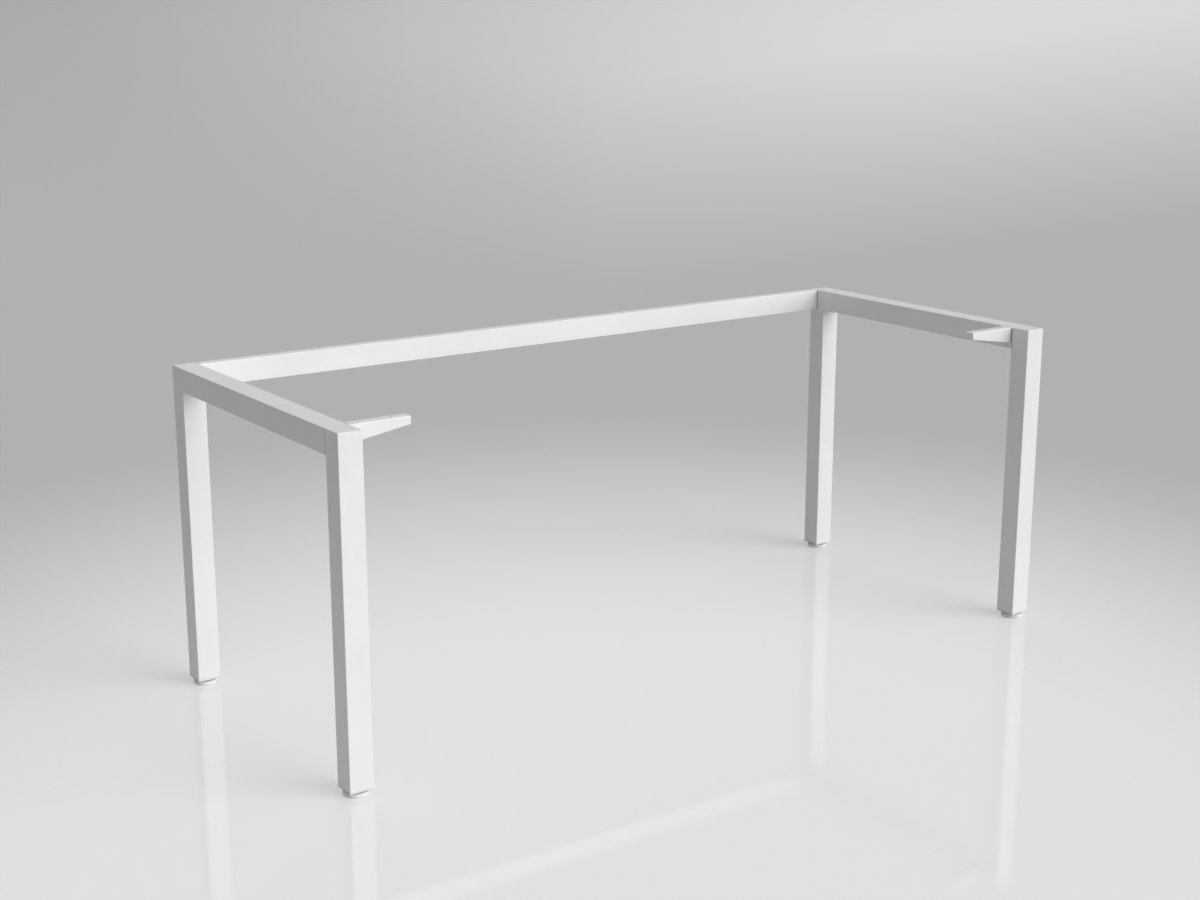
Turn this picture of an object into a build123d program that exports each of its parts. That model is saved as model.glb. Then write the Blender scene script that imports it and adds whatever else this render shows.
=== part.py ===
import os

from build123d import *

# All lengths are in millimetres. X runs along the desk, Y to its back, Z up.

# The whole frame
FRAME_WIDTH = 1815.0
FRAME_DEPTH = 750.0
FRAME_HEIGHT = 700.0

# Square tube of the legs and the end rails
TUBE_SIZE = 50.0
TUBE_WALL = 1.5
TUBE_ROUND = 1.5
TUBE_INNER_ROUND = 0.5

# Rear beam, as high as the end rails
BEAM_DEPTH = 25.0
BEAM_SCREW_COUNT = 4
BEAM_SCREW_INSET = 157.5
BEAM_SLOT_LENGTH = 60.0
BEAM_SLOT_WIDTH = 14.0
BEAM_SLOT_TO_BOLT = 4.0

# Desk-top screws: a hole in the upper wall, a wider one below for the driver
SCREW_HOLE = 6.0
DRIVER_HOLE = 12.0

# Plates that close the upper ends of the legs
CAP_THICKNESS = 3.0

# Joint between the rear beam and a back leg
PLATE_THICKNESS = 5.0
BOLT_SPACING = 26.0
BOLT_DIAMETER = 6.0
BOLT_LENGTH = 18.0
BOLT_HEAD_DIAMETER = 10.0
BOLT_HEAD_HEIGHT = 6.0
BOLT_SOCKET = 5.0
BOLT_SOCKET_DEPTH = 3.0
RIVET_BODY = 9.0
RIVET_LENGTH = 14.0
RIVET_FLANGE = 11.0
RIVET_FLANGE_THICKNESS = 0.8
RIVET_BULGE = 12.0
RIVET_BULGE_LENGTH = 3.0

# Tapered brackets behind the front legs, folded from sheet
BRACKET_REACH = 127.0
BRACKET_DEPTH = 25.0
BRACKET_ROOT_HEIGHT = 35.0
BRACKET_TIP_HEIGHT = 15.5
BRACKET_SHEET = 2.0
BRACKET_BEND = 0.5
BRACKET_SETBACK = 0.5
BRACKET_SCREW_REACH = 90.0

# Plugs in the lower ends of the legs
PLUG_FLANGE = 4.5
PLUG_EDGE = 0.6
PLUG_SPIGOT = 25.0
PLUG_WALL = 2.5
PLUG_RIB_DEPTH = 1.0
PLUG_RIB_HEIGHT = 1.5
PLUG_RIB_COUNT = 3
PLUG_BOSS = 20.0
PLUG_BOSS_HEIGHT = 14.0
PLUG_WEB = 2.0

# Screw of a levelling foot, and the nut it turns in
STUD_DIAMETER = 8.0
STUD_LENGTH = 40.0
STUD_POINT = 0.8
COLLAR_FLATS = 14.0
COLLAR_HEIGHT = 2.7
BUTTON_DIAMETER = 12.0
BUTTON_HEIGHT = 3.6
BUTTON_ROUND = 1.0
NUT_FLATS = 13.0
NUT_HEIGHT = 6.5
NUT_CORNER_CUT = 0.6

# Moulded base of a levelling foot
BASE_DIAMETER = 50.0
BASE_RIM = 7.8
BASE_EDGE = 1.0
BASE_ROUND = 1.2
BASE_HUB = 22.0
BASE_RECESS = 36.0
BASE_RECESS_DEPTH = 0.8
SOCKET_FLOOR = 1.4
SOCKET_LIP = 2.6

# Clearances
FIT_GAP = 0.05
THREAD_GAP = 0.05
PASS_GAP = 0.3
BUTTON_GAP = 0.2
POCKET_GAP = 0.1

# Places that follow from the sizes above
HALF_WIDTH = FRAME_WIDTH / 2
HALF_DEPTH = FRAME_DEPTH / 2
LEG_X = HALF_WIDTH - TUBE_SIZE / 2
LEG_Y = HALF_DEPTH - TUBE_SIZE / 2
INNER_X = HALF_WIDTH - TUBE_SIZE
INNER_Y = HALF_DEPTH - TUBE_SIZE
RAIL_Z = FRAME_HEIGHT - TUBE_SIZE / 2
BEAM_Y = HALF_DEPTH - BEAM_DEPTH / 2
SOCKET_BOTTOM = BASE_RECESS_DEPTH + SOCKET_FLOOR
SOCKET_HEIGHT = BUTTON_HEIGHT + 2 * BUTTON_GAP
BASE_HEIGHT = SOCKET_BOTTOM + SOCKET_HEIGHT + SOCKET_LIP
COLLAR_TOP = BASE_HEIGHT + COLLAR_HEIGHT
LEG_BOTTOM = COLLAR_TOP + PLUG_FLANGE
NUT_SEAT = LEG_BOTTOM + PLUG_BOSS_HEIGHT - NUT_HEIGHT
TUBE_BORE = TUBE_SIZE - 2 * TUBE_WALL
BEAM_BORE = BEAM_DEPTH - 2 * TUBE_WALL
WALL_DRILL = 3 * TUBE_WALL
BOLT_HEIGHTS = (RAIL_Z - BOLT_SPACING / 2, RAIL_Z + BOLT_SPACING / 2)

SIDES = {"left": -1, "right": 1}
CORNERS = {
    "front_left": (-1, -1),
    "front_right": (1, -1),
    "back_left": (-1, 1),
    "back_right": (1, 1),
}


def upright(radius, height, x, y, z):
    """A round bar or drill along Z that starts at height z."""
    return Pos(x, y, z) * extrude(Circle(radius), height)


def sideways(radius, length, x, y, z):
    """A round bar or drill along X that starts at x."""
    return Pos(x, y, z) * Rot(0, 90, 0) * extrude(Circle(radius), length)


def hexagon(flats, height, z):
    """A hexagonal bar along Z that starts at height z."""
    return Pos(0, 0, z) * extrude(RegularPolygon(flats / 2, 6, major_radius=False), height)


def tube(width, height, length):
    """A rolled tube along Z with rounded corners, centred on Z = 0."""
    outside = RectangleRounded(width, height, TUBE_ROUND)
    bore_width = width - 2 * TUBE_WALL
    bore_height = height - 2 * TUBE_WALL
    bore = RectangleRounded(bore_width, bore_height, TUBE_INNER_ROUND)
    return extrude(outside - bore, length / 2, both=True)


def leg(side, end):
    """A leg: its free upper edges are rounded like the rail's, and a back leg takes the beam."""
    x = side * LEG_X
    y = end * LEG_Y
    height = FRAME_HEIGHT - LEG_BOTTOM
    block = Pos(x, y, LEG_BOTTOM + height / 2) * Box(TUBE_SIZE, TUBE_SIZE, height)
    top = block.edges().group_by(Axis.Z)[-1]
    rounded = block.edges().filter_by(Axis.Z) + top.filter_by(Axis.Y)
    rounded += [top.filter_by(Axis.X).sort_by(Axis.Y)[-1 if end > 0 else 0]]
    block = fillet(rounded, TUBE_ROUND)
    bore = RectangleRounded(TUBE_BORE, TUBE_BORE, TUBE_INNER_ROUND)
    block -= Pos(x, y, LEG_BOTTOM) * extrude(bore, height)
    if end > 0:
        start = side * (INNER_X + TUBE_WALL / 2) - WALL_DRILL / 2
        for z in BOLT_HEIGHTS:
            block -= sideways(RIVET_BODY / 2 + FIT_GAP, WALL_DRILL, start, BEAM_Y, z)
    return block


def leg_cap(side, end):
    """A plate let into the upper end of a leg, level with its top."""
    size = TUBE_BORE - 2 * FIT_GAP
    plate = extrude(RectangleRounded(size, size, TUBE_INNER_ROUND), -CAP_THICKNESS)
    return Pos(side * LEG_X, end * LEG_Y, FRAME_HEIGHT) * plate


def end_rail(side):
    """A rail along Y between the front and the back leg of one end."""
    return Pos(side * LEG_X, 0, RAIL_Z) * Rot(90, 0, 0) * tube(TUBE_SIZE, TUBE_SIZE, 2 * INNER_Y)


def rear_beam():
    """The shallow beam along X, with desk-top screw holes and slots for the bolts' key."""
    beam = Pos(0, BEAM_Y, RAIL_Z) * Rot(0, 90, 0) * tube(TUBE_SIZE, BEAM_DEPTH, 2 * INNER_X)
    top = FRAME_HEIGHT - 2 * TUBE_WALL
    bottom = FRAME_HEIGHT - TUBE_SIZE - TUBE_WALL
    slot_end = INNER_X - PLATE_THICKNESS - BOLT_HEAD_HEIGHT - BEAM_SLOT_TO_BOLT
    slot = extrude(SlotOverall(BEAM_SLOT_LENGTH, BEAM_SLOT_WIDTH), WALL_DRILL)
    for side in SIDES.values():
        beam -= Pos(side * (slot_end - BEAM_SLOT_LENGTH / 2), BEAM_Y, bottom) * slot
    screw_reach = INNER_X - BEAM_SCREW_INSET
    screw_pitch = 2 * screw_reach / (BEAM_SCREW_COUNT - 1)
    for index in range(BEAM_SCREW_COUNT):
        x = index * screw_pitch - screw_reach
        beam -= upright(SCREW_HOLE / 2, WALL_DRILL, x, BEAM_Y, top)
        beam -= upright(DRIVER_HOLE / 2, WALL_DRILL, x, BEAM_Y, bottom)
    return beam


def beam_end_plate(side):
    """A plate welded into one end of the beam, sunk where the rivet nuts' flanges lie."""
    section = RectangleRounded(TUBE_BORE - 2 * FIT_GAP, BEAM_BORE - 2 * FIT_GAP, TUBE_INNER_ROUND)
    plate = Rot(0, 90, 0) * extrude(section, -PLATE_THICKNESS)
    sink = RIVET_FLANGE_THICKNESS + FIT_GAP
    plate = Pos(INNER_X, BEAM_Y, RAIL_Z) * plate
    back = INNER_X - PLATE_THICKNESS
    for z in BOLT_HEIGHTS:
        plate -= sideways(BOLT_DIAMETER / 2 + PASS_GAP, PLATE_THICKNESS, back, BEAM_Y, z)
        plate -= sideways(RIVET_FLANGE / 2 + PASS_GAP, sink, INNER_X - sink, BEAM_Y, z)
    return plate if side > 0 else mirror(plate, Plane.YZ)


def beam_bolts(side):
    """The two socket-head bolts at one end of the beam, with their heads inside it."""
    head = extrude(Circle(BOLT_HEAD_DIAMETER / 2), -BOLT_HEAD_HEIGHT)
    socket = extrude(RegularPolygon(BOLT_SOCKET / 2, 6, major_radius=False), BOLT_SOCKET_DEPTH)
    bolt = head + extrude(Circle(BOLT_DIAMETER / 2), BOLT_LENGTH)
    bolt -= Pos(0, 0, -BOLT_HEAD_HEIGHT) * socket
    bolts = []
    for z in BOLT_HEIGHTS:
        placed = Pos(INNER_X - PLATE_THICKNESS, BEAM_Y, z) * Rot(0, 90, 0) * bolt
        bolts.append(placed if side > 0 else mirror(placed, Plane.YZ))
    return Compound(children=bolts)


def rivet_nuts(side):
    """The two rivet nuts in the inner wall of one back leg, each clinched behind the wall."""
    bore = BOLT_DIAMETER / 2 + THREAD_GAP
    bulge_end = TUBE_WALL + RIVET_BULGE_LENGTH
    outline = [
        (bore, -RIVET_FLANGE_THICKNESS),
        (RIVET_FLANGE / 2, -RIVET_FLANGE_THICKNESS),
        (RIVET_FLANGE / 2, 0),
        (RIVET_BODY / 2, 0),
        (RIVET_BODY / 2, TUBE_WALL),
        (RIVET_BULGE / 2, TUBE_WALL),
        (RIVET_BODY / 2, bulge_end),
        (RIVET_BODY / 2, RIVET_LENGTH),
        (bore, RIVET_LENGTH),
    ]
    nut = revolve(Plane.XZ * make_face(Polyline(*outline, close=True)), Axis.Z)
    nuts = []
    for z in BOLT_HEIGHTS:
        placed = Pos(INNER_X, BEAM_Y, z) * Rot(0, 90, 0) * nut
        nuts.append(placed if side > 0 else mirror(placed, Plane.YZ))
    return Compound(children=nuts)


def tapered_block(reach, root, tip, depth, bend):
    """A wedge along X under Z = 0 whose fold lines, along the top and at the tip, are rounded."""
    profile = Polyline((0, 0), (reach, 0), (reach, -tip), (0, -root), close=True)
    wedge = extrude(Plane.XZ * make_face(profile), depth / 2, both=True)
    top = wedge.edges().group_by(Axis.Z)[-1]
    folds = top.filter_by(Axis.X) + top.filter_by(Axis.Y).sort_by(Axis.X)[-1:]
    folds += wedge.edges().filter_by(Axis.Z).group_by(Axis.X)[-1]
    return fillet(folds, bend)


def bracket(side):
    """A tapered arm folded from sheet, open below, that stands on an end rail's inner face."""
    slope = (BRACKET_ROOT_HEIGHT - BRACKET_TIP_HEIGHT) / BRACKET_REACH
    arm = tapered_block(
        BRACKET_REACH,
        BRACKET_ROOT_HEIGHT,
        BRACKET_TIP_HEIGHT,
        BRACKET_DEPTH,
        BRACKET_BEND + BRACKET_SHEET,
    )
    inner_reach = BRACKET_REACH - BRACKET_SHEET
    inner = tapered_block(
        inner_reach,
        BRACKET_ROOT_HEIGHT + BRACKET_SHEET,
        BRACKET_ROOT_HEIGHT + BRACKET_SHEET - slope * inner_reach,
        BRACKET_DEPTH - 2 * BRACKET_SHEET,
        BRACKET_BEND,
    )
    arm -= Pos(0, 0, -BRACKET_SHEET) * inner
    arm -= upright(SCREW_HOLE / 2, 3 * BRACKET_SHEET, BRACKET_SCREW_REACH, 0, -2 * BRACKET_SHEET)
    y = BRACKET_SETBACK + BRACKET_DEPTH / 2 - INNER_Y
    arm = Pos(-INNER_X, y, FRAME_HEIGHT) * arm
    return arm if side < 0 else mirror(arm, Plane.YZ)


def foot_plug():
    """A moulded plug: flange under the tube, ribbed hollow spigot, boss with a pocket for the nut."""
    flange = extrude(RectangleRounded(TUBE_SIZE, TUBE_SIZE, TUBE_ROUND), PLUG_FLANGE)
    levels = flange.edges().group_by(Axis.Z)
    plug = Pos(0, 0, COLLAR_TOP) * fillet(levels[0] + levels[-1], PLUG_EDGE)
    core = TUBE_BORE - 2 * PLUG_RIB_DEPTH
    hollow = core - 2 * PLUG_WALL
    rib_size = TUBE_BORE - 2 * FIT_GAP
    spigot = Rectangle(core, core) - Rectangle(hollow, hollow)
    plug += Pos(0, 0, LEG_BOTTOM) * extrude(spigot, PLUG_SPIGOT)
    rib = RectangleRounded(rib_size, rib_size, TUBE_INNER_ROUND) - Rectangle(core, core)
    rib_pitch = PLUG_SPIGOT / (PLUG_RIB_COUNT + 1)
    for index in range(PLUG_RIB_COUNT):
        plug += Pos(0, 0, LEG_BOTTOM + (index + 1) * rib_pitch) * extrude(rib, PLUG_RIB_HEIGHT)
    plug += upright(PLUG_BOSS / 2, PLUG_BOSS_HEIGHT, 0, 0, LEG_BOTTOM)
    web = Rectangle(hollow, PLUG_WEB) + Rectangle(PLUG_WEB, hollow)
    plug += Pos(0, 0, LEG_BOTTOM) * extrude(web, PLUG_BOSS_HEIGHT)
    plug -= upright(STUD_DIAMETER / 2 + PASS_GAP, LEG_BOTTOM + PLUG_SPIGOT, 0, 0, 0)
    pocket = NUT_FLATS + 2 * POCKET_GAP
    return plug - hexagon(pocket, PLUG_SPIGOT, NUT_SEAT)


def foot_nut():
    """The hexagon nut of a plug, with its corners turned off at both ends."""
    nut = hexagon(NUT_FLATS, NUT_HEIGHT, NUT_SEAT)
    corner = NUT_FLATS / 3**0.5
    turned = chamfer(extrude(Circle(corner), NUT_HEIGHT).edges(), NUT_CORNER_CUT)
    nut = nut & Pos(0, 0, NUT_SEAT) * turned
    return nut - upright(STUD_DIAMETER / 2 + THREAD_GAP, LEG_BOTTOM + PLUG_SPIGOT, 0, 0, 0)


def foot_stud():
    """The screw of a foot: button head in the base, hexagon collar, long shank in the nut."""
    button = fillet(extrude(Circle(BUTTON_DIAMETER / 2), BUTTON_HEIGHT).edges(), BUTTON_ROUND)
    button = Pos(0, 0, SOCKET_BOTTOM + BUTTON_GAP) * button
    shank_bottom = SOCKET_BOTTOM + SOCKET_HEIGHT / 2
    shank = upright(STUD_DIAMETER / 2, COLLAR_TOP + STUD_LENGTH - shank_bottom, 0, 0, shank_bottom)
    shank = chamfer(shank.edges().sort_by(Axis.Z)[-1], STUD_POINT)
    return button + shank + hexagon(COLLAR_FLATS, COLLAR_HEIGHT, BASE_HEIGHT)


def foot_base():
    """The round base of a foot: upright rim, sloping top, snap-in socket for the button."""
    rim = BASE_DIAMETER / 2
    outline = [
        (0, 0),
        (rim - BASE_EDGE, 0),
        (rim, BASE_EDGE),
        (rim, BASE_RIM),
        (BASE_HUB / 2, BASE_HEIGHT),
        (0, BASE_HEIGHT),
    ]
    base = revolve(Plane.XZ * make_face(Polyline(*outline, close=True)), Axis.Z)
    rims = base.edges().filter_by(GeomType.CIRCLE).group_by(SortBy.RADIUS)[-1]
    base = fillet(rims.sort_by(Axis.Z)[-1], BASE_ROUND)
    base -= upright(BASE_RECESS / 2, BASE_RECESS_DEPTH, 0, 0, 0)
    base -= upright(BUTTON_DIAMETER / 2 + BUTTON_GAP, SOCKET_HEIGHT, 0, 0, SOCKET_BOTTOM)
    return base - upright(STUD_DIAMETER / 2 + PASS_GAP, BASE_HEIGHT, 0, 0, SOCKET_BOTTOM)


def all_pieces():
    """Every named piece of the frame, in place."""
    pieces = {"rear_beam": rear_beam()}
    for name, side in SIDES.items():
        pieces[f"end_rail_{name}"] = end_rail(side)
        pieces[f"bracket_{name}"] = bracket(side)
        pieces[f"beam_end_plate_{name}"] = beam_end_plate(side)
        pieces[f"beam_bolts_{name}"] = beam_bolts(side)
        pieces[f"rivet_nuts_{name}"] = rivet_nuts(side)
    for name, (side, end) in CORNERS.items():
        pieces[f"leg_{name}"] = leg(side, end)
        pieces[f"leg_cap_{name}"] = leg_cap(side, end)
        under = Pos(side * LEG_X, end * LEG_Y, 0)
        pieces[f"foot_plug_{name}"] = under * foot_plug()
        pieces[f"foot_nut_{name}"] = under * foot_nut()
        pieces[f"foot_stud_{name}"] = under * foot_stud()
        pieces[f"foot_base_{name}"] = under * foot_base()
    return pieces


os.makedirs("parts", exist_ok=True)
for node, piece in all_pieces().items():
    export_step(piece, f"parts/{node}.step")
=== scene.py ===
# %% [markdown]
# # A white desk frame
#
# This lesson dresses the steel underframe of a desk. Two legs and a rail make each end, a shallow
# beam bolts the two ends together along the back, and a small tapered bracket behind each front
# leg carries the front of the desk top. Every leg stands on a levelling foot.
#
# The shapes were drawn in CAD, to size, so Blender keeps them. Blender's own work is how things
# look: the finishes, the studio, and the threads of the foot screws, which are plain rods in CAD.

# %% Load the CAD model
import math

import bpy
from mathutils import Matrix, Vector


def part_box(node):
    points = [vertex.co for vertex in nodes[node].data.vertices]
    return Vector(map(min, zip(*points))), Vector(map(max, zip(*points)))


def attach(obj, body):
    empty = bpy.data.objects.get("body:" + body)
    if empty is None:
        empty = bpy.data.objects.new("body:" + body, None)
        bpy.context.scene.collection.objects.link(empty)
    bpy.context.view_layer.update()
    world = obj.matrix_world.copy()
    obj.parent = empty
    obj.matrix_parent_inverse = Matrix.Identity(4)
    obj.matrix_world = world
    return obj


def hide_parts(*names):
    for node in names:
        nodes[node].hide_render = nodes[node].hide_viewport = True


MM = 0.001

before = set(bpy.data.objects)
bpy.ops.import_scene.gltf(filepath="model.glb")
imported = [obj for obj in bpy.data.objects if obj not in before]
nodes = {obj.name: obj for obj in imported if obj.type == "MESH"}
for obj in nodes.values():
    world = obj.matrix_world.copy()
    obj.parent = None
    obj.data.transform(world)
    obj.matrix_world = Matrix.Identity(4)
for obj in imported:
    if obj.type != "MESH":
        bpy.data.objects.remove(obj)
scene = bpy.context.scene
scene.view_settings.view_transform = "Standard"
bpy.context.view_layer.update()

# %% [markdown]
# ## The camera
#
# The photograph looks at the frame from the front left and slightly from above. Its uprights lean
# together towards the floor, which tells that the camera was tilted down, by 14 degrees. A camera
# can be nudged by eye, but here the corners of the tubes were matched by calculation, so that
# every edge of the render falls on the same edge of the photograph.

# %% Place the camera
VIEW_TURN = math.radians(35)
VIEW_TILT = math.radians(14)
VIEW_FROM = (-2.32836, -3.21003, 1.45244)
LENS_MM = 55
SENSOR_MM = 36
SEES_TO = 1000

camera_data = bpy.data.cameras.new("photo_camera")
camera_data.lens = LENS_MM
camera_data.sensor_width = SENSOR_MM
camera_data.clip_end = SEES_TO
camera = bpy.data.objects.new("photo_camera", camera_data)
camera.location = VIEW_FROM
camera.rotation_euler = (math.pi / 2 - VIEW_TILT, 0, -VIEW_TURN)
scene.collection.objects.link(camera)
scene.camera = camera
print(f"camera {camera.location.length:.2f} m from the middle of the floor under the frame")

# %% [markdown]
# ## Helpers for finishes
#
# A finish in Blender is a tree of nodes. Colours are easiest to write as they look on a screen,
# in sRGB hex, but the shader counts light linearly, so one function turns the one into the
# other. A second one adds a node and fills its settings and inputs. An input takes either a
# plain value or the output of another node, and it is found by its name or its number. A Mix
# node has several inputs of the same name, so those for colours go by number.
#
# A noise texture runs from 0 to 1, but it seldom leaves the middle, from 0.3 to 0.7. Roughness
# that depends on a noise is spread over that range, and most tints over a narrower one, so that
# both ends of them are seen.

# %% Helpers for finishes
MIX_FACTOR, MIX_A, MIX_B = 0, 6, 7
MIX_RESULT = 2
NOISE_LOW, NOISE_HIGH = 0.3, 0.7
TINT_LOW, TINT_HIGH = 0.35, 0.65


def linear(hex_colour):
    """The linear RGBA of an sRGB colour such as #EEEEEE."""
    channels = [int(hex_colour[i:i + 2], 16) / 255 for i in (1, 3, 5)]
    return [c / 12.92 if c <= 0.04045 else ((c + 0.055) / 1.055) ** 2.4 for c in channels] + [1.0]


def add_node(tree, kind, settings=None, inputs=None):
    """Adds a node to a tree; an input is given as a value or as another node's output."""
    node = tree.nodes.new(kind)
    for name, value in (settings or {}).items():
        setattr(node, name, value)
    for name, value in (inputs or {}).items():
        if isinstance(value, bpy.types.NodeSocket):
            tree.links.new(value, node.inputs[name])
        else:
            node.inputs[name].default_value = value
    return node


def new_tree(owner):
    """Switches a material or a world to nodes and returns its empty tree."""
    owner.use_nodes = True
    owner.node_tree.nodes.clear()
    return owner.node_tree


print("mid grey #BCBCBC in linear light:", round(linear("#BCBCBC")[0], 3))

# %% [markdown]
# ## Powder-coated steel
#
# The tubes and brackets are mild steel under a baked polyester powder. The powder melts into a
# satin film about 0.08 mm thick. Seen close to, the film is never quite flat: it keeps gentle
# ripples a few millimetres long, which painters call orange peel, and they break up reflections.
# Its white also drifts a very little along a tube, where the film is thicker or thinner. In narrow
# corners the white is darkened towards grey, as painted shade: that is the fine grey line at each
# joint between a leg and a rail, and the darker grey in the other inner corners.
#
# The ripples could be real geometry, but they are only some hundredths of a millimetre high, so a
# bump is enough. One pixel of the render covers about 2 mm, so ripples of 3 mm would vanish. They
# are drawn 7 mm long instead. The painted shade could be drawn by hand at every joint. An Ambient
# Occlusion node finds all the corners by itself: it measures how open each point is.

# %% Powder-coated steel
PEEL = 7 * MM
PEEL_HEIGHT = 0.06 * MM
DRIFT = 180 * MM
CORNER = 5 * MM
CORNER_SHADED, CORNER_UNSHADED = 0.3, 0.85

powder_coat = bpy.data.materials.new("satin_powder_coat_on_steel")
tree = new_tree(powder_coat)
place = add_node(tree, "ShaderNodeTexCoord").outputs["Object"]
peel = add_node(tree, "ShaderNodeTexNoise", inputs={
    "Vector": place, "Scale": 1 / PEEL, "Detail": 2.0, "Roughness": 0.45})
drift = add_node(tree, "ShaderNodeTexNoise", inputs={
    "Vector": place, "Scale": 1 / DRIFT, "Detail": 3.0, "Roughness": 0.5})
tint = add_node(tree, "ShaderNodeValToRGB", inputs={"Fac": drift.outputs["Fac"]})
tint.color_ramp.elements[0].position = TINT_LOW
tint.color_ramp.elements[0].color = linear("#ECECEC")
tint.color_ramp.elements[1].position = TINT_HIGH
tint.color_ramp.elements[1].color = linear("#F0F0F0")
# Painted shade: the less open a point is, the more its white turns to the grey #7A7A7A.
openness = add_node(tree, "ShaderNodeAmbientOcclusion", {"samples": 12}, {"Distance": CORNER})
painted_corner_shade = add_node(tree, "ShaderNodeMapRange", inputs={
    "Value": openness.outputs["AO"], "From Min": CORNER_SHADED, "From Max": CORNER_UNSHADED})
white = add_node(tree, "ShaderNodeMix", {"data_type": "RGBA"}, {
    MIX_FACTOR: painted_corner_shade.outputs["Result"], MIX_A: linear("#7A7A7A"), MIX_B: tint.outputs["Color"]})
satin = add_node(tree, "ShaderNodeMapRange", inputs={
    "Value": peel.outputs["Fac"], "From Min": NOISE_LOW, "From Max": NOISE_HIGH,
    "To Min": 0.30, "To Max": 0.38})
ripple = add_node(tree, "ShaderNodeBump", inputs={
    "Height": peel.outputs["Fac"], "Strength": 0.35, "Distance": PEEL_HEIGHT})
film = add_node(tree, "ShaderNodeBsdfPrincipled", inputs={
    "Base Color": white.outputs[MIX_RESULT], "Roughness": satin.outputs["Result"],
    "Normal": ripple.outputs["Normal"], "IOR": 1.5})
add_node(tree, "ShaderNodeOutputMaterial", inputs={"Surface": film.outputs["BSDF"]})
print(powder_coat.name, "has", len(tree.nodes), "nodes")

# %% [markdown]
# ## Zinc-plated steel
#
# Bolts, rivet nuts and foot screws are turned or cold-headed steel with a thin bright coat of
# zinc. The bath leaves a faint blue cast in some places and a straw one in others, and barrel
# plating scuffs the shine. It is a metal, so the colour sits in the reflection: Metallic is 1 and
# the roughness wanders between the polished and the scuffed places. The scuffs are some tenths
# of a millimetre wide on the real screw. At 1.2 mm they show from a hand's length away.

# %% Zinc-plated steel
SCUFF = 1.2 * MM
SCUFF_DEPTH = 0.02 * MM
CAST = 6 * MM

zinc = bpy.data.materials.new("bright_zinc_plate_on_steel")
tree = new_tree(zinc)
place = add_node(tree, "ShaderNodeTexCoord").outputs["Object"]
scuff = add_node(tree, "ShaderNodeTexNoise", inputs={
    "Vector": place, "Scale": 1 / SCUFF, "Detail": 3.0, "Roughness": 0.6})
cast = add_node(tree, "ShaderNodeTexNoise", inputs={
    "Vector": place, "Scale": 1 / CAST, "Detail": 1.0})
tint = add_node(tree, "ShaderNodeValToRGB", inputs={"Fac": cast.outputs["Fac"]})
tint.color_ramp.elements[0].position = NOISE_LOW
tint.color_ramp.elements[0].color = linear("#C3C8CE")
tint.color_ramp.elements[1].position = NOISE_HIGH
tint.color_ramp.elements[1].color = linear("#D2D0C8")
shine = add_node(tree, "ShaderNodeMapRange", inputs={
    "Value": scuff.outputs["Fac"], "From Min": NOISE_LOW, "From Max": NOISE_HIGH,
    "To Min": 0.24, "To Max": 0.42})
dents = add_node(tree, "ShaderNodeBump", inputs={
    "Height": scuff.outputs["Fac"], "Strength": 0.2, "Distance": SCUFF_DEPTH})
metal = add_node(tree, "ShaderNodeBsdfPrincipled", inputs={
    "Base Color": tint.outputs["Color"], "Metallic": 1.0, "Roughness": shine.outputs["Result"],
    "Normal": dents.outputs["Normal"]})
add_node(tree, "ShaderNodeOutputMaterial", inputs={"Surface": metal.outputs["BSDF"]})
print(zinc.name, "has", len(tree.nodes), "nodes")

# %% [markdown]
# ## Moulded polypropylene
#
# A plug closes the lower end of each leg. It is polypropylene, moulded in a spark-eroded tool,
# and the tool's fine craters leave the plastic matt. Their grain is about 0.3 mm; it is drawn at
# 0.8 mm, so that a close view still shows it. The white is a little greyer than the paint's.

# %% Moulded polypropylene
GRAIN = 0.8 * MM
GRAIN_DEPTH = 0.03 * MM
FLOW = 14 * MM

plug_plastic = bpy.data.materials.new("moulded_polypropylene")
tree = new_tree(plug_plastic)
place = add_node(tree, "ShaderNodeTexCoord").outputs["Object"]
grain = add_node(tree, "ShaderNodeTexNoise", inputs={
    "Vector": place, "Scale": 1 / GRAIN, "Detail": 2.0})
flow = add_node(tree, "ShaderNodeTexNoise", inputs={
    "Vector": place, "Scale": 1 / FLOW, "Detail": 2.0})
tint = add_node(tree, "ShaderNodeValToRGB", inputs={"Fac": flow.outputs["Fac"]})
tint.color_ramp.elements[0].position = TINT_LOW
tint.color_ramp.elements[0].color = linear("#E0E0E0")
tint.color_ramp.elements[1].position = TINT_HIGH
tint.color_ramp.elements[1].color = linear("#E6E6E6")
matt = add_node(tree, "ShaderNodeMapRange", inputs={
    "Value": grain.outputs["Fac"], "From Min": NOISE_LOW, "From Max": NOISE_HIGH,
    "To Min": 0.46, "To Max": 0.6})
craters = add_node(tree, "ShaderNodeBump", inputs={
    "Height": grain.outputs["Fac"], "Strength": 0.3, "Distance": GRAIN_DEPTH})
plastic = add_node(tree, "ShaderNodeBsdfPrincipled", inputs={
    "Base Color": tint.outputs["Color"], "Roughness": matt.outputs["Result"],
    "Normal": craters.outputs["Normal"], "IOR": 1.49})
add_node(tree, "ShaderNodeOutputMaterial", inputs={"Surface": plastic.outputs["BSDF"]})
print(plug_plastic.name, "has", len(tree.nodes), "nodes")

# %% [markdown]
# ## Moulded nylon
#
# The round base of each foot slides on the floor, so it is nylon, from a polished tool. It is the
# glossiest white on the frame. What keeps it from looking like glass is a slight waviness, where
# the plastic sank as it cooled, and a cloudiness in its natural white.

# %% Moulded nylon
SINK = 5 * MM
SINK_DEPTH = 0.05 * MM
CLOUD = 9 * MM

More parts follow.
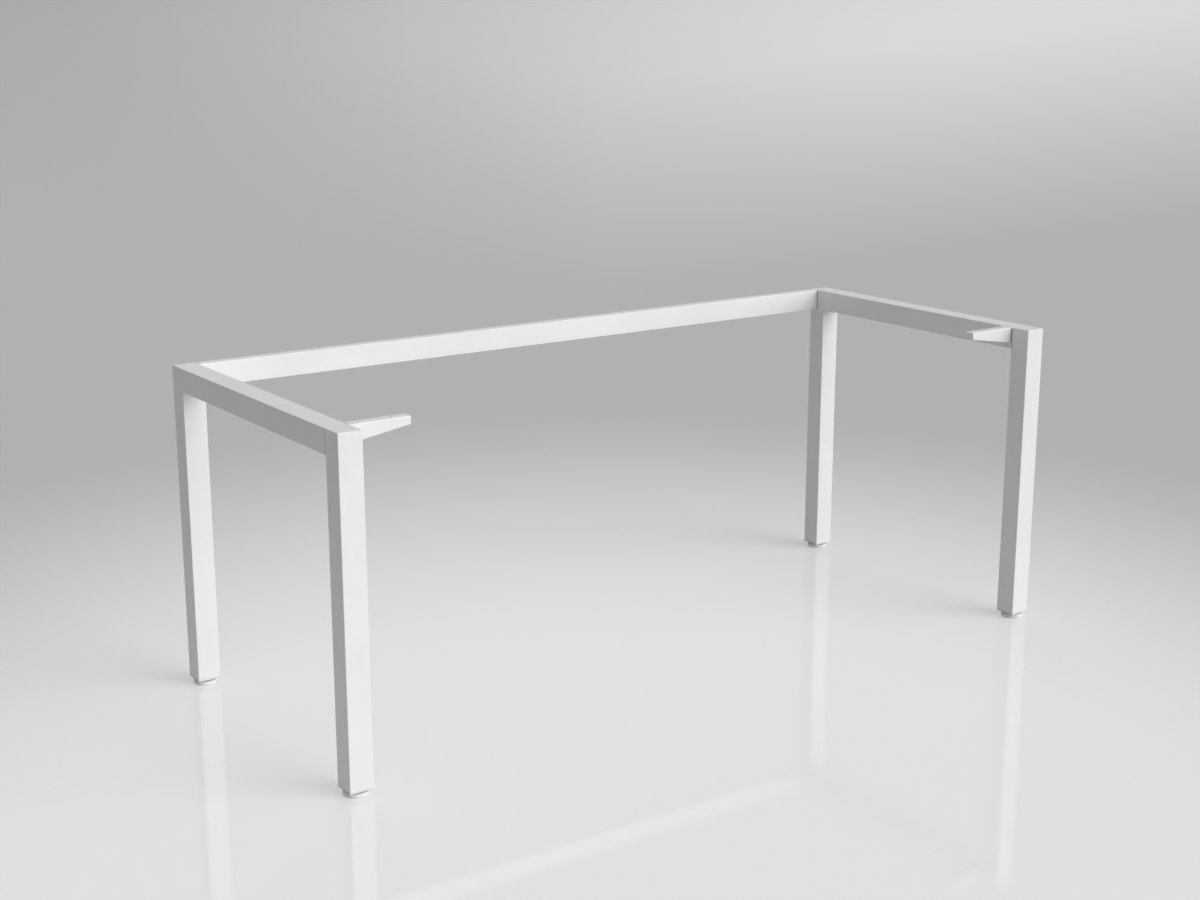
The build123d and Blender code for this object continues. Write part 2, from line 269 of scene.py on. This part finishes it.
foot_nylon = bpy.data.materials.new("moulded_nylon")
tree = new_tree(foot_nylon)
place = add_node(tree, "ShaderNodeTexCoord").outputs["Object"]
sink = add_node(tree, "ShaderNodeTexNoise", inputs={
    "Vector": place, "Scale": 1 / SINK, "Detail": 1.0})
cloud = add_node(tree, "ShaderNodeTexNoise", inputs={
    "Vector": place, "Scale": 1 / CLOUD, "Detail": 3.0})
tint = add_node(tree, "ShaderNodeValToRGB", inputs={"Fac": cloud.outputs["Fac"]})
tint.color_ramp.elements[0].position = TINT_LOW
tint.color_ramp.elements[0].color = linear("#EBEBEA")
tint.color_ramp.elements[1].position = TINT_HIGH
tint.color_ramp.elements[1].color = linear("#F1F1F0")
gloss = add_node(tree, "ShaderNodeMapRange", inputs={
    "Value": cloud.outputs["Fac"], "From Min": NOISE_LOW, "From Max": NOISE_HIGH,
    "To Min": 0.16, "To Max": 0.24})
waves = add_node(tree, "ShaderNodeBump", inputs={
    "Height": sink.outputs["Fac"], "Strength": 0.25, "Distance": SINK_DEPTH})
nylon = add_node(tree, "ShaderNodeBsdfPrincipled", inputs={
    "Base Color": tint.outputs["Color"], "Roughness": gloss.outputs["Result"],
    "Normal": waves.outputs["Normal"], "IOR": 1.53})
add_node(tree, "ShaderNodeOutputMaterial", inputs={"Surface": nylon.outputs["BSDF"]})
print(foot_nylon.name, "has", len(tree.nodes), "nodes")

# %% [markdown]
# ## Dress the CAD pieces
#
# The first word or two of a node's name tells what it is made of. Everything that goes through
# the powder oven as one welded end, or as the beam, is coated, the cap plates and end plates with
# it. Bolts and nuts are zinc. The foot screws get their zinc further on, where they are made.

# %% Dress the CAD pieces
FINISHES = {
    "leg_": powder_coat,
    "end_rail_": powder_coat,
    "rear_beam": powder_coat,
    "bracket_": powder_coat,
    "beam_end_plate_": powder_coat,
    "beam_bolts_": zinc,
    "rivet_nuts_": zinc,
    "foot_nut_": zinc,
    "foot_plug_": plug_plastic,
    "foot_base_": foot_nylon,
}
for start, finish in FINISHES.items():
    dressed = [node for name, node in nodes.items() if name.startswith(start)]
    for node in dressed:
        node.data.materials.clear()
        node.data.materials.append(finish)
    print(f"{finish.name}: {len(dressed)} of {start}")

# %% [markdown]
# ## The thread of a foot screw
#
# A leg is levelled by turning its foot, and then the screw shows under the plug. It is an M8
# screw: 8 mm outside, one turn every 1.25 mm, flanks at 60 degrees to each other. A thread could
# be faked with a bump, but its outline against the light is what the eye looks for, so it is cut
# here as real geometry.
#
# One turn's outline is drawn as by hand: a single corner of a plane is kept and extruded four
# times, along the root, up a flank, along the crest and down the other flank.

# %% Draw one turn of the thread
STUD_R = 4.0 * MM
PITCH = 1.25 * MM
THREAD_DEPTH = 0.6134 * PITCH
ROOT_R = STUD_R - THREAD_DEPTH
ROOT = PITCH / 4
CREST = PITCH / 8
FLANK = (PITCH - CREST - ROOT) / 2

bpy.ops.object.select_all(action="DESELECT")
bpy.ops.mesh.primitive_plane_add(size=2 * ROOT_R)
thread = bpy.context.object
thread.name = "foot_screw"
bpy.ops.object.mode_set(mode="EDIT")
bpy.ops.mesh.select_all(action="DESELECT")
bpy.ops.object.mode_set(mode="OBJECT")
for vertex in thread.data.vertices:
    vertex.select = vertex.index > 0
bpy.ops.object.mode_set(mode="EDIT")
bpy.ops.mesh.delete(type="VERT")
bpy.ops.mesh.select_all(action="SELECT")
bpy.ops.transform.translate(value=(2 * ROOT_R, ROOT_R, 0))
for outwards, upwards in ((0, ROOT), (THREAD_DEPTH, FLANK), (0, CREST), (-THREAD_DEPTH, FLANK)):
    bpy.ops.mesh.extrude_region_move(TRANSFORM_OT_translate={"value": (outwards, 0, upwards)})
bpy.ops.object.mode_set(mode="OBJECT")
outline = sorted((round(v.co.z / MM, 2), round(v.co.x / MM, 2)) for v in thread.data.vertices)
print("outline, height and radius in mm:", outline)

# %% [markdown]
# A thread is too fine a mesh to bevel at its end. A turner would cut it on a bar whose end was
# pointed first, and a Boolean does the same, if the thread is intersected with a plain bar that
# has a bevelled rim. The same small bar, with other rims, makes the round button and turns the
# corners off the hexagon. So a bar and a Boolean are worth a function each.

# %% Helpers for turned pieces
BAR_SIDES = 64
SAME_HEIGHT = 0.001 * MM


def turned_bar(radius, bottom, top, cuts, segments=1):
    """A round bar along Z whose lower and upper rims are bevelled by the two cuts."""
    bpy.ops.object.select_all(action="DESELECT")
    bpy.ops.mesh.primitive_cylinder_add(
        vertices=BAR_SIDES, radius=radius, depth=top - bottom, location=(0, 0, (bottom + top) / 2))
    bpy.ops.object.transform_apply(location=True)
    bar = bpy.context.object
    for height, cut in zip((bottom, top), cuts):
        if cut:
            bpy.context.tool_settings.mesh_select_mode = (False, True, False)
            bpy.ops.object.mode_set(mode="EDIT")
            bpy.ops.mesh.select_all(action="DESELECT")
            bpy.ops.object.mode_set(mode="OBJECT")
            for edge in bar.data.edges:
                ends = [bar.data.vertices[i].co.z for i in edge.vertices]
                edge.select = all(abs(z - height) < SAME_HEIGHT for z in ends)
            bpy.ops.object.mode_set(mode="EDIT")
            bpy.ops.mesh.bevel(offset=cut, segments=segments)
            bpy.ops.object.mode_set(mode="OBJECT")
    return bar


def combine(piece, other, operation):
    """Applies a Boolean of two meshes to the first one and removes the second."""
    joint = piece.modifiers.new("joint", "BOOLEAN")
    joint.operation = operation
    joint.object = other
    bpy.context.view_layer.objects.active = piece
    bpy.ops.object.modifier_apply(modifier=joint.name)
    bpy.data.objects.remove(other)


print(f"turned bars have {BAR_SIDES} sides")

# %% [markdown]
# The Screw modifier sweeps the outline up a helix, and each turn joins the one below. There is a
# turn more than the screw needs, so that two bisections can cut both ends square. The pointed bar
# is a little thicker than the thread, so it cuts the thread only at its end.

# %% Sweep the thread and point it
STUD_TOP = 51.5 * MM
COLLAR_BOTTOM = 8.8 * MM
COLLAR_TOP = 11.5 * MM
POINT = 0.8 * MM
BAR_SPARE = 0.6 * MM
TURNS = math.ceil((STUD_TOP - COLLAR_BOTTOM) / PITCH) + 1
STEPS_A_TURN = 28

helix = thread.modifiers.new("helix", "SCREW")
helix.screw_offset = PITCH
helix.iterations = TURNS
helix.steps = STEPS_A_TURN
helix.render_steps = STEPS_A_TURN
bpy.context.view_layer.objects.active = thread
bpy.ops.object.modifier_apply(modifier=helix.name)
bpy.ops.object.mode_set(mode="EDIT")
bpy.ops.mesh.select_all(action="SELECT")
bpy.ops.transform.translate(value=(0, 0, COLLAR_BOTTOM))
bpy.ops.mesh.remove_doubles(threshold=PITCH / 100)
for height, facing in ((COLLAR_BOTTOM + PITCH, -1), (STUD_TOP + PITCH, 1)):
    bpy.ops.mesh.select_all(action="SELECT")
    bpy.ops.mesh.bisect(
        plane_co=(0, 0, height), plane_no=(0, 0, facing), use_fill=True, clear_outer=True)
bpy.ops.mesh.select_all(action="SELECT")
bpy.ops.mesh.normals_make_consistent(inside=False)
bpy.ops.object.mode_set(mode="OBJECT")
pointed = turned_bar(STUD_R + BAR_SPARE, COLLAR_BOTTOM, STUD_TOP, (0, POINT + BAR_SPARE))
combine(thread, pointed, "INTERSECT")
print(f"threaded shank: {TURNS} turns, {len(thread.data.polygons)} faces")

# %% [markdown]
# ## Collar and button
#
# Below the thread the screw carries a hexagon collar, where a spanner turns it, and a round button
# that snaps into the nylon base and lets the screw turn while the base stands still. A hexagon
# from a six-sided cylinder has knife-sharp corners. On a real one the corners are turned off at
# both ends, so the hexagon is intersected with a round bar of the same height.

# %% Collar and button
COLLAR_FLATS = 14.0 * MM
COLLAR_CUT = 0.6 * MM
BUTTON_R = 6.0 * MM
BUTTON_BOTTOM = 2.4 * MM
BUTTON_TOP = 6.0 * MM
BUTTON_ROUND = 1.0 * MM
ROUND_STEPS = 4
SHARP_FROM = math.radians(35)

collar_r = COLLAR_FLATS / math.sqrt(3)
collar_middle = (COLLAR_BOTTOM + COLLAR_TOP) / 2
button_middle = (BUTTON_BOTTOM + BUTTON_TOP) / 2
bpy.ops.object.select_all(action="DESELECT")
bpy.ops.mesh.primitive_cylinder_add(
    vertices=6, radius=collar_r, depth=COLLAR_TOP - COLLAR_BOTTOM,
    location=(0, 0, collar_middle), rotation=(0, 0, math.pi / 6))
bpy.ops.object.transform_apply(location=True, rotation=True)
collar = bpy.context.object
rounding = turned_bar(collar_r, COLLAR_BOTTOM, COLLAR_TOP, (COLLAR_CUT, COLLAR_CUT))
combine(collar, rounding, "INTERSECT")
combine(thread, collar, "UNION")
combine(thread, turned_bar(ROOT_R, button_middle, collar_middle, (0, 0)), "UNION")
button = turned_bar(
    BUTTON_R, BUTTON_BOTTOM, BUTTON_TOP, (BUTTON_ROUND, BUTTON_ROUND), segments=ROUND_STEPS)
combine(thread, button, "UNION")
thread.data.materials.clear()
thread.data.materials.append(zinc)
bpy.ops.object.select_all(action="DESELECT")
thread.select_set(True)
bpy.ops.object.shade_smooth_by_angle(angle=SHARP_FROM)
print(f"foot screw: {len(thread.data.polygons)} faces, {thread.dimensions.z / MM:.1f} mm long")

# %% [markdown]
# ## Four screws
#
# The screw was modelled once, on the Z axis. Each leg gets a copy with a mesh of its own. The CAD
# rod under that leg tells where it stands. The copy rides on the rod's body, so it turns and
# sinks with it when the foot is adjusted, and it takes the plain rod's place.

# %% Copy the screw to each leg
for leg in ("front_left", "front_right", "back_left", "back_right"):
    rod = f"foot_stud_{leg}"
    low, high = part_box(rod)
    bpy.ops.object.select_all(action="DESELECT")
    thread.select_set(True)
    bpy.context.view_layer.objects.active = thread
    bpy.ops.object.duplicate()
    screw = bpy.context.object
    screw.name = f"foot_screw_{leg}"
    bpy.ops.transform.translate(value=((low.x + high.x) / 2, (low.y + high.y) / 2, 0))
    bpy.ops.object.transform_apply(location=True)
    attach(screw, rod)
    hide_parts(rod)
    room_mm = []
    for axis in range(3):
        along = [vertex.co[axis] for vertex in screw.data.vertices]
        for room in (min(along) - low[axis], high[axis] - max(along)):
            room_mm.append(round(room / MM, 3))
    print(f"{screw.name}: room to both sides of the CAD rod's box in X, Y and Z {room_mm} mm")
bpy.data.objects.remove(thread)

# %% [markdown]
# ## The studio floor
#
# The whole picture is one polished pale floor. It lies in a soft pool of light, fades to grey
# behind the frame and brightens again far away, more to the right than to the left. A floor this
# plain could be a curved sweep, but a very large plane gives the same picture and is simpler.
#
# The tone is painted by place, on the floor's own coordinates. A Mapping node turns them by the
# 35 degrees of the view, so that Y runs away from the viewer. A second one puts the middle of the
# pool in front of the frame and makes the pool narrower than it is long. The distance from that
# middle then mixes a pale grey with a darker one.

# %% Lay the floor and paint the pool of light
FLOOR_SIDE = 800
POOL_NEARER = 1.2
POOL_SQUEEZE = 1.3
POOL_INNER = 1.2
POOL_OUTER = 3.8
POOL_TONE = "#DDDDDD"
PLAIN_TONE = "#A9A9A9"

bpy.ops.object.select_all(action="DESELECT")
bpy.ops.mesh.primitive_plane_add(size=FLOOR_SIDE)
floor = bpy.context.object
floor.name = "studio_floor"
polished = bpy.data.materials.new("polished_studio_floor")
floor.data.materials.append(polished)
tree = new_tree(polished)
place = add_node(tree, "ShaderNodeTexCoord").outputs["Object"]
along_view = add_node(tree, "ShaderNodeMapping", inputs={
    "Vector": place, "Rotation": (0, 0, VIEW_TURN)})
pool = add_node(tree, "ShaderNodeMapping", inputs={
    "Vector": along_view.outputs["Vector"], "Location": (0, POOL_NEARER, 0),
    "Scale": (POOL_SQUEEZE, 1, 1)})
reach = add_node(tree, "ShaderNodeVectorMath", {"operation": "LENGTH"}, {
    0: pool.outputs["Vector"]})
dusk = add_node(tree, "ShaderNodeMapRange", {"interpolation_type": "SMOOTHSTEP"}, {
    "Value": reach.outputs["Value"], "From Min": POOL_INNER, "From Max": POOL_OUTER})
near_tone = add_node(tree, "ShaderNodeMix", {"data_type": "RGBA"}, {
    MIX_FACTOR: dusk.outputs["Result"], MIX_A: linear(POOL_TONE), MIX_B: linear(PLAIN_TONE)})
print(f"{floor.name}: pale within {POOL_INNER} m of the pool's middle, grey from {POOL_OUTER} m on")

# %% [markdown]
# Far behind the frame the floor brightens. Seen from above, that part of it is a wide fan with
# its tip where the viewer stands. The sideways place divided by the distance is the same all
# along one blade of the fan, so it can colour the fan from a grey left to a pale right. The far
# tone takes over between 9 and 30 m away, straight ahead sooner than at the sides.
#
# In low views the air above the floor's edge shows too, and a line would run along that edge if
# the tones didn't go on there. A direction in the air has a sideways and a forward part, as a
# place on the floor has, and its steepness does what nearness does on the floor. So one function
# serves both. What lies beside or behind the viewer is on no blade: it is made steep, which
# leaves it in the plain tone.

# %% Brighten the far floor
VIEWER_BACK = 4.0
VIEWER_UP = 1.0
LEAST_AHEAD = 0.5
FAN_LEFT = -0.36
FAN_RIGHT = 0.225
FAN_LEFT_TONE = "#A3A3A3"
FAN_RIGHT_TONE = "#D1D1D1"
FADE_NEAR = 9.0
FADE_FAR = 30.0
SIDE_DELAY = 0.09


def far_glow(tree, toward, plain):
    """A plain tone that gives way to the far one. In toward, X is sideways, Y ahead and Z up."""
    part = add_node(tree, "ShaderNodeSeparateXYZ", inputs={"Vector": toward})
    ahead = add_node(tree, "ShaderNodeMath", {"operation": "MAXIMUM"}, {
        0: part.outputs["Y"], 1: LEAST_AHEAD})
    behind = add_node(tree, "ShaderNodeMath", {"operation": "SUBTRACT"}, {
        0: ahead.outputs["Value"], 1: part.outputs["Y"]})
    rise = add_node(tree, "ShaderNodeMath", {"operation": "ADD"}, {
        0: part.outputs["Z"], 1: behind.outputs["Value"]})
    steep = add_node(tree, "ShaderNodeMath", {"operation": "DIVIDE"}, {
        0: rise.outputs["Value"], 1: ahead.outputs["Value"]})
    blade = add_node(tree, "ShaderNodeMath", {"operation": "DIVIDE"}, {
        0: part.outputs["X"], 1: ahead.outputs["Value"]})
    across = add_node(tree, "ShaderNodeMapRange", {"interpolation_type": "SMOOTHSTEP"}, {
        "Value": blade.outputs["Value"], "From Min": FAN_LEFT, "From Max": FAN_RIGHT})
    far_tone = add_node(tree, "ShaderNodeMix", {"data_type": "RGBA"}, {
        MIX_FACTOR: across.outputs["Result"],
        MIX_A: linear(FAN_LEFT_TONE), MIX_B: linear(FAN_RIGHT_TONE)})
    sideways = add_node(tree, "ShaderNodeMath", {"operation": "ABSOLUTE"}, {
        0: blade.outputs["Value"]})
    nearness = add_node(tree, "ShaderNodeMath", {"operation": "MULTIPLY_ADD"}, {
        0: sideways.outputs["Value"], 1: SIDE_DELAY, 2: steep.outputs["Value"]})
    fade = add_node(tree, "ShaderNodeMapRange", inputs={
        "Value": nearness.outputs["Value"],
        "From Min": VIEWER_UP / FADE_NEAR, "From Max": VIEWER_UP / FADE_FAR})
    tone = add_node(tree, "ShaderNodeMix", {"data_type": "RGBA"}, {
        MIX_FACTOR: fade.outputs["Result"], MIX_A: plain, MIX_B: far_tone.outputs[MIX_RESULT]})
    return tone.outputs[MIX_RESULT]


from_viewer = add_node(tree, "ShaderNodeMapping", inputs={
    "Vector": along_view.outputs["Vector"], "Location": (0, VIEWER_BACK, VIEWER_UP)})
tone = far_glow(tree, from_viewer.outputs["Vector"], near_tone.outputs[MIX_RESULT])
print(f"far tone from {FADE_NEAR:.0f} to {FADE_FAR:.0f} m, {len(tree.nodes)} nodes so far")

# %% [markdown]
# The tone becomes a surface in three layers. A share of it is paint, which takes light and
# shadow. A second share is given off, but only where the floor is seen, straight on, in a
# reflection or through glass, as the Light Path node can tell. So it brightens the picture and
# throws no light on the frame. Last comes a thin mirror, as on a polished floor, for the faint
# reflections of the legs.

# %% Paint, glow and polish
PAINT = 0.8
GLOW = 0.55
MIRROR = 0.18
MIRROR_BLUR = 0.06


def seen_rays(tree):
    """1 for a ray from the camera, off something shiny or through glass, and 0 for any other."""
    rays = add_node(tree, "ShaderNodeLightPath")
    shown = add_node(tree, "ShaderNodeMath", {"operation": "MAXIMUM"}, {
        0: rays.outputs["Is Camera Ray"], 1: rays.outputs["Is Glossy Ray"]})
    seen = add_node(tree, "ShaderNodeMath", {"operation": "MAXIMUM"}, {
        0: shown.outputs["Value"], 1: rays.outputs["Is Transmission Ray"]})
    return seen.outputs["Value"]


glow = add_node(tree, "ShaderNodeMath", {"operation": "MULTIPLY"}, {0: seen_rays(tree), 1: GLOW})
dim = add_node(tree, "ShaderNodeVectorMath", {"operation": "SCALE"}, {0: tone, "Scale": PAINT})
paint = add_node(tree, "ShaderNodeBsdfDiffuse", inputs={"Color": dim.outputs["Vector"]})
lift = add_node(tree, "ShaderNodeEmission", inputs={
    "Color": tone, "Strength": glow.outputs["Value"]})
body = add_node(tree, "ShaderNodeAddShader", inputs={
    0: paint.outputs["BSDF"], 1: lift.outputs["Emission"]})
mirror = add_node(tree, "ShaderNodeBsdfAnisotropic", inputs={"Roughness": MIRROR_BLUR})
polish = add_node(tree, "ShaderNodeMixShader", inputs={
    0: MIRROR, 1: body.outputs["Shader"], 2: mirror.outputs["BSDF"]})
add_node(tree, "ShaderNodeOutputMaterial", inputs={"Surface": polish.outputs["Shader"]})
print(f"{polished.name}: {PAINT} paint, {GLOW} glow, {MIRROR} mirror, {len(tree.nodes)} nodes")

# %% [markdown]
# ## The lamps
#
# The front faces of the legs are the brightest, the upper faces come next and the left faces lie
# in shade. Just under the end rails the legs fade darker, and the shadows at the feet are short
# and soft. One lamp can't do all of that: a high one leaves the front faces too dark, and a low
# one throws long shadows and no shade under the rails. So there are two in front of the frame
# and to its right, a high key light and a low, wider one. A third, weak and low, stands behind
# the frame, so that its back isn't dull when the view goes round. Sun lamps with a wide angle are
# large lights without fall-off, so both ends of a long frame are lit alike. They are kept out of
# reflections, where they would show as round discs in the polished floor.

# %% Set up the lamps
LAMPS = {
    "key_light": {"turn": 15, "height": 60, "spread": 40, "strength": 0.6},
    "front_light": {"turn": 32, "height": 12, "spread": 60, "strength": 2.7},
    "back_light": {"turn": 150, "height": 4, "spread": 50, "strength": 0.9},
}
for name, light in LAMPS.items():
    lamp_data = bpy.data.lights.new(name, "SUN")
    lamp_data.energy = light["strength"]
    lamp_data.angle = math.radians(light["spread"])
    lamp = bpy.data.objects.new(name, lamp_data)
    turn, height = math.radians(light["turn"]), math.radians(light["height"])
    comes_from = Vector((math.sin(turn), -math.cos(turn), math.tan(height)))
    lamp.rotation_euler = (-comes_from).to_track_quat("-Z", "Y").to_euler()
    lamp.visible_glossy = False
    scene.collection.objects.link(lamp)
    print(name, light)

# %% [markdown]
# ## The air around
#
# Light also comes back from the studio's walls, from all sides, and keeps the left faces from
# going black. The world gives that fill, the same from everywhere. Where the world itself is
# seen, above the edge of the floor or in a reflection, it goes on in the tones of the far floor.
# The Light Path node tells the two apart.

# %% Fill the shadows
FILL = 0.34
SKY = 1.12

studio = bpy.data.worlds.new("studio")
scene.world = studio
tree = new_tree(studio)
direction = add_node(tree, "ShaderNodeTexCoord").outputs["Generated"]
along_view = add_node(tree, "ShaderNodeMapping", inputs={
    "Vector": direction, "Rotation": (0, 0, VIEW_TURN)})
tone = far_glow(tree, along_view.outputs["Vector"], linear(PLAIN_TONE))
sky = add_node(tree, "ShaderNodeVectorMath", {"operation": "SCALE"}, {0: tone, "Scale": SKY})
level = add_node(tree, "ShaderNodeMix", {"data_type": "RGBA"}, {
    MIX_FACTOR: seen_rays(tree), MIX_A: (FILL, FILL, FILL, 1), MIX_B: sky.outputs["Vector"]})
air = add_node(tree, "ShaderNodeBackground", inputs={"Color": level.outputs[MIX_RESULT]})
add_node(tree, "ShaderNodeOutputWorld", inputs={"Surface": air.outputs["Background"]})
print(f"world: {FILL} as light, {len(tree.nodes)} nodes")
